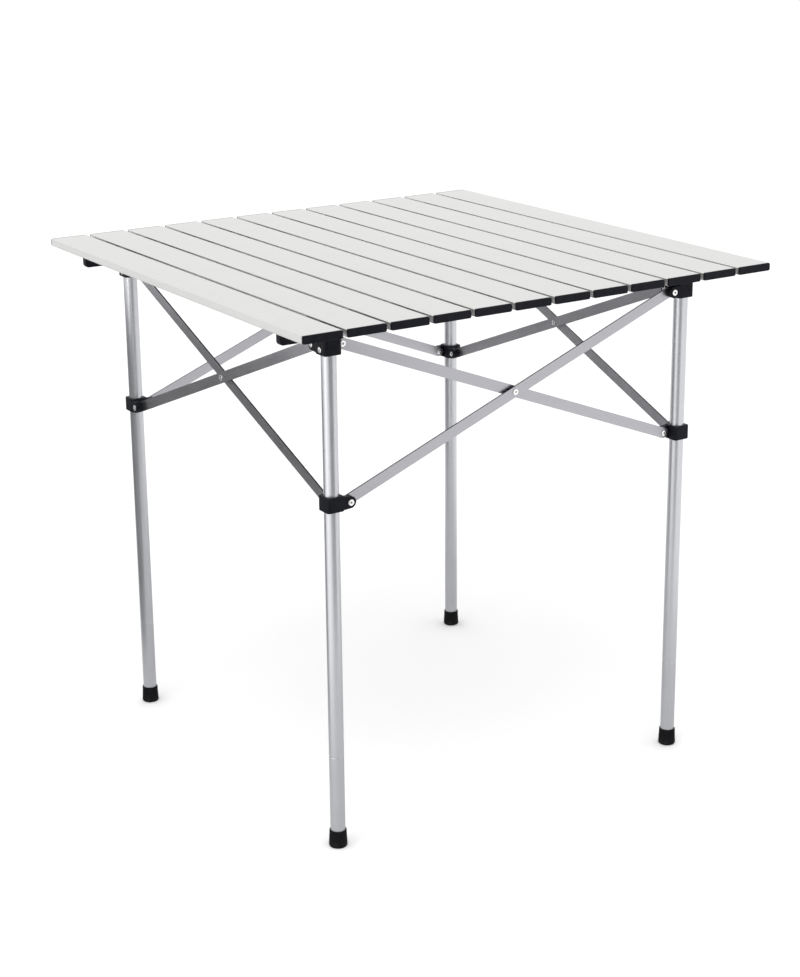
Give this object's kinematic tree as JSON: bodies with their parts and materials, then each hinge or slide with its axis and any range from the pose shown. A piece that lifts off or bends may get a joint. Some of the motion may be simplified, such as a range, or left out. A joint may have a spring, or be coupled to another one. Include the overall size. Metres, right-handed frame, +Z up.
{
  "type": "folding picnic table",
  "caption": "Square folding picnic table: a roll-up slatted aluminium top on round legs joined by scissor bars, with sliding collars so the frame folds into a bundle.",
  "frame": {"origin": "on the floor, under the middle of the table top", "axes": "+Z up, +Y along the slats from front to back, +X across the slats to the right seen from the front"},
  "size_m": [0.7, 0.7, 0.69],
  "materials": {
    "slat": "satin anodised, fine brushing along each slat",
    "tube": "satin anodised tube",
    "bar": "satin anodised flat bar",
    "rivet": "bright plated hollow rivet",
    "plastic": "black moulded nylon, semi-matt",
    "rubber": "matt black rubber"
  },
  "bodies": {
    "leg_front_left": {"leg_front_left": "tube", "foot_front_left": "rubber", "leg_bracket_front_left": "plastic"},
    "leg_front_right": {"leg_front_right": "tube", "foot_front_right": "rubber", "leg_bracket_front_right": "plastic"},
    "leg_back_right": {"leg_back_right": "tube", "foot_back_right": "rubber", "leg_bracket_back_right": "plastic"},
    "leg_back_left": {"leg_back_left": "tube", "foot_back_left": "rubber", "leg_bracket_back_left": "plastic"},
    "outer_bar_front": {"outer_bar_front": "bar", "collar_rivet_front_front_left": "rivet", "bracket_rivet_front_front_right": "rivet"},
    "inner_bar_front": {"inner_bar_front": "bar", "bracket_rivet_front_front_left": "rivet", "collar_rivet_front_front_right": "rivet", "crossing_rivet_front": "rivet"},
    "outer_bar_right": {"outer_bar_right": "bar", "collar_rivet_right_front_right": "rivet", "bracket_rivet_right_back_right": "rivet"},
    "inner_bar_right": {"inner_bar_right": "bar", "bracket_rivet_right_front_right": "rivet", "collar_rivet_right_back_right": "rivet", "crossing_rivet_right": "rivet"},
    "outer_bar_back": {"outer_bar_back": "bar", "collar_rivet_back_back_right": "rivet", "bracket_rivet_back_back_left": "rivet", "crossing_rivet_back": "rivet"},
    "inner_bar_back": {"inner_bar_back": "bar", "bracket_rivet_back_back_right": "rivet", "collar_rivet_back_back_left": "rivet"},
    "outer_bar_left": {"outer_bar_left": "bar", "collar_rivet_left_back_left": "rivet", "bracket_rivet_left_front_left": "rivet", "crossing_rivet_left": "rivet"},
    "inner_bar_left": {"inner_bar_left": "bar", "bracket_rivet_left_back_left": "rivet", "collar_rivet_left_front_left": "rivet"},
    "sliding_collar_front_left": {"sliding_collar_front_left": "plastic"},
    "sliding_collar_front_right": {"sliding_collar_front_right": "plastic"},
    "sliding_collar_back_right": {"sliding_collar_back_right": "plastic"},
    "sliding_collar_back_left": {"sliding_collar_back_left": "plastic"},
    "support_rail_front": {"support_rail_front": "plastic"},
    "support_rail_back": {"support_rail_back": "plastic"},
    "slat_01": {"slat_01": "slat"},
    "slat_02": {"slat_02": "slat"},
    "slat_03": {"slat_03": "slat"},
    "slat_04": {"slat_04": "slat"},
    "slat_05": {"slat_05": "slat"},
    "slat_06": {"slat_06": "slat"},
    "slat_07": {"slat_07": "slat"},
    "slat_08": {"slat_08": "slat"},
    "slat_09": {"slat_09": "slat"},
    "slat_10": {"slat_10": "slat"},
    "slat_11": {"slat_11": "slat"},
    "slat_12": {"slat_12": "slat"}
  },
  "joints": [
    {"name": "frame_fold", "type": "hinge", "parent": "leg_front_left", "child": "inner_bar_front", "pos_m": [-0.249, -0.2695, 0.651], "axis": [0, 1, 0], "range_deg": [0, 66.5]},
    {"name": "front_crossing", "type": "hinge", "parent": "inner_bar_front", "child": "outer_bar_front", "pos_m": [0, -0.2695, 0.55393], "axis": [0, 1, 0], "range_deg": [-133, 0]},
    {"name": "front_right_leg_hinge", "type": "hinge", "parent": "outer_bar_front", "child": "leg_front_right", "pos_m": [0.249, -0.2695, 0.651], "axis": [0, 1, 0], "range_deg": [0, 66.5]},
    {"name": "front_left_collar_hinge", "type": "hinge", "parent": "outer_bar_front", "child": "sliding_collar_front_left", "pos_m": [-0.249, -0.2695, 0.45687], "axis": [0, 1, 0], "range_deg": [0, 66.5]},
    {"name": "front_right_collar_hinge", "type": "hinge", "parent": "inner_bar_front", "child": "sliding_collar_front_right", "pos_m": [0.249, -0.2695, 0.45687], "axis": [0, 1, 0], "range_deg": [-66.5, 0]},
    {"name": "left_bar_hinge", "type": "hinge", "parent": "leg_front_left", "child": "outer_bar_left", "pos_m": [-0.2695, -0.249, 0.651], "axis": [-1, 0, 0], "range_deg": [0, 66.5]},
    {"name": "left_crossing", "type": "hinge", "parent": "outer_bar_left", "child": "inner_bar_left", "pos_m": [-0.2695, 0, 0.55393], "axis": [-1, 0, 0], "range_deg": [-133, 0]},
    {"name": "back_left_leg_hinge", "type": "hinge", "parent": "inner_bar_left", "child": "leg_back_left", "pos_m": [-0.2695, 0.249, 0.651], "axis": [-1, 0, 0], "range_deg": [0, 66.5]},
    {"name": "back_left_collar_hinge", "type": "hinge", "parent": "outer_bar_left", "child": "sliding_collar_back_left", "pos_m": [-0.2695, 0.249, 0.45687], "axis": [-1, 0, 0], "range_deg": [-66.5, 0]},
    {"name": "right_bar_hinge", "type": "hinge", "parent": "leg_front_right", "child": "inner_bar_right", "pos_m": [0.2695, -0.249, 0.651], "axis": [-1, 0, 0], "range_deg": [0, 66.5]},
    {"name": "right_crossing", "type": "hinge", "parent": "inner_bar_right", "child": "outer_bar_right", "pos_m": [0.2695, 0, 0.55393], "axis": [-1, 0, 0], "range_deg": [-133, 0]},
    {"name": "back_right_leg_hinge", "type": "hinge", "parent": "outer_bar_right", "child": "leg_back_right", "pos_m": [0.2695, 0.249, 0.651], "axis": [-1, 0, 0], "range_deg": [0, 66.5]},
    {"name": "back_right_collar_hinge", "type": "hinge", "parent": "inner_bar_right", "child": "sliding_collar_back_right", "pos_m": [0.2695, 0.249, 0.45687], "axis": [-1, 0, 0], "range_deg": [-66.5, 0]},
    {"name": "back_bar_hinge", "type": "hinge", "parent": "leg_back_left", "child": "outer_bar_back", "pos_m": [-0.249, 0.2695, 0.651], "axis": [0, 1, 0], "range_deg": [0, 66.5]},
    {"name": "back_crossing", "type": "hinge", "parent": "outer_bar_back", "child": "inner_bar_back", "pos_m": [0, 0.2695, 0.55393], "axis": [0, 1, 0], "range_deg": [-133, 0]},
    {"name": "top_lift", "type": "slide", "parent": "leg_front_left", "child": "slat_01", "axis": [0, 0, 1], "range_m": [0, 0.12]},
    {"name": "front_rail_lift", "type": "slide", "parent": "leg_front_left", "child": "support_rail_front", "axis": [0, 0, 1], "range_m": [0, 0.06]},
    {"name": "back_rail_lift", "type": "slide", "parent": "leg_back_left", "child": "support_rail_back", "axis": [0, 0, 1], "range_m": [0, 0.06]},
    {"name": "top_roll", "type": "hinge", "parent": "slat_01", "child": "slat_02", "pos_m": [-0.29417, 0, 0.6875], "axis": [0, -1, 0], "range_deg": [0, 47]},
    {"name": "slat_02_bend", "type": "hinge", "parent": "slat_02", "child": "slat_03", "pos_m": [-0.23533, 0, 0.6875], "axis": [0, -1, 0], "range_deg": [0, 48]},
    {"name": "slat_03_bend", "type": "hinge", "parent": "slat_03", "child": "slat_04", "pos_m": [-0.1765, 0, 0.6875], "axis": [0, -1, 0], "range_deg": [0, 50]},
    {"name": "slat_04_bend", "type": "hinge", "parent": "slat_04", "child": "slat_05", "pos_m": [-0.11767, 0, 0.6875], "axis": [0, -1, 0], "range_deg": [0, 52]},
    {"name": "slat_05_bend", "type": "hinge", "parent": "slat_05", "child": "slat_06", "pos_m": [-0.05883, 0, 0.6875], "axis": [0, -1, 0], "range_deg": [0, 54]},
    {"name": "slat_06_bend", "type": "hinge", "parent": "slat_06", "child": "slat_07", "pos_m": [0, 0, 0.6875], "axis": [0, -1, 0], "range_deg": [0, 57]},
    {"name": "slat_07_bend", "type": "hinge", "parent": "slat_07", "child": "slat_08", "pos_m": [0.05883, 0, 0.6875], "axis": [0, -1, 0], "range_deg": [0, 60]},
    {"name": "slat_08_bend", "type": "hinge", "parent": "slat_08", "child": "slat_09", "pos_m": [0.11767, 0, 0.6875], "axis": [0, -1, 0], "range_deg": [0, 63]},
    {"name": "slat_09_bend", "type": "hinge", "parent": "slat_09", "child": "slat_10", "pos_m": [0.1765, 0, 0.6875], "axis": [0, -1, 0], "range_deg": [0, 67]},
    {"name": "slat_10_bend", "type": "hinge", "parent": "slat_10", "child": "slat_11", "pos_m": [0.23533, 0, 0.6875], "axis": [0, -1, 0], "range_deg": [0, 73]},
    {"name": "slat_11_bend", "type": "hinge", "parent": "slat_11", "child": "slat_12", "pos_m": [0.29417, 0, 0.6875], "axis": [0, -1, 0], "range_deg": [0, 80]}
  ],
  "couplings": [
    {"joint": "front_crossing", "follows": "frame_fold", "ratio": -2},
    {"joint": "front_right_leg_hinge", "follows": "frame_fold", "ratio": 1},
    {"joint": "front_left_collar_hinge", "follows": "frame_fold", "ratio": 1},
    {"joint": "front_right_collar_hinge", "follows": "frame_fold", "ratio": -1},
    {"joint": "left_bar_hinge", "follows": "frame_fold", "ratio": 1},
    {"joint": "left_crossing", "follows": "frame_fold", "ratio": -2},
    {"joint": "back_left_leg_hinge", "follows": "frame_fold", "ratio": 1},
    {"joint": "back_left_collar_hinge", "follows": "frame_fold", "ratio": -1},
    {"joint": "right_bar_hinge", "follows": "frame_fold", "ratio": 1},
    {"joint": "right_crossing", "follows": "frame_fold", "ratio": -2},
    {"joint": "back_right_leg_hinge", "follows": "frame_fold", "ratio": 1},
    {"joint": "back_right_collar_hinge", "follows": "frame_fold", "ratio": -1},
    {"joint": "back_bar_hinge", "follows": "frame_fold", "ratio": 1},
    {"joint": "back_crossing", "follows": "frame_fold", "ratio": -2},
    {"joint": "front_rail_lift", "follows": "top_lift", "ratio": 0.5},
    {"joint": "back_rail_lift", "follows": "top_lift", "ratio": 0.5},
    {"joint": "slat_02_bend", "follows": "top_roll", "ratio": 1.0213},
    {"joint": "slat_03_bend", "follows": "top_roll", "ratio": 1.0638},
    {"joint": "slat_04_bend", "follows": "top_roll", "ratio": 1.1064},
    {"joint": "slat_05_bend", "follows": "top_roll", "ratio": 1.1489},
    {"joint": "slat_06_bend", "follows": "top_roll", "ratio": 1.2128},
    {"joint": "slat_07_bend", "follows": "top_roll", "ratio": 1.2766},
    {"joint": "slat_08_bend", "follows": "top_roll", "ratio": 1.3404},
    {"joint": "slat_09_bend", "follows": "top_roll", "ratio": 1.4255},
    {"joint": "slat_10_bend", "follows": "top_roll", "ratio": 1.5532},
    {"joint": "slat_11_bend", "follows": "top_roll", "ratio": 1.7021}
  ]
}
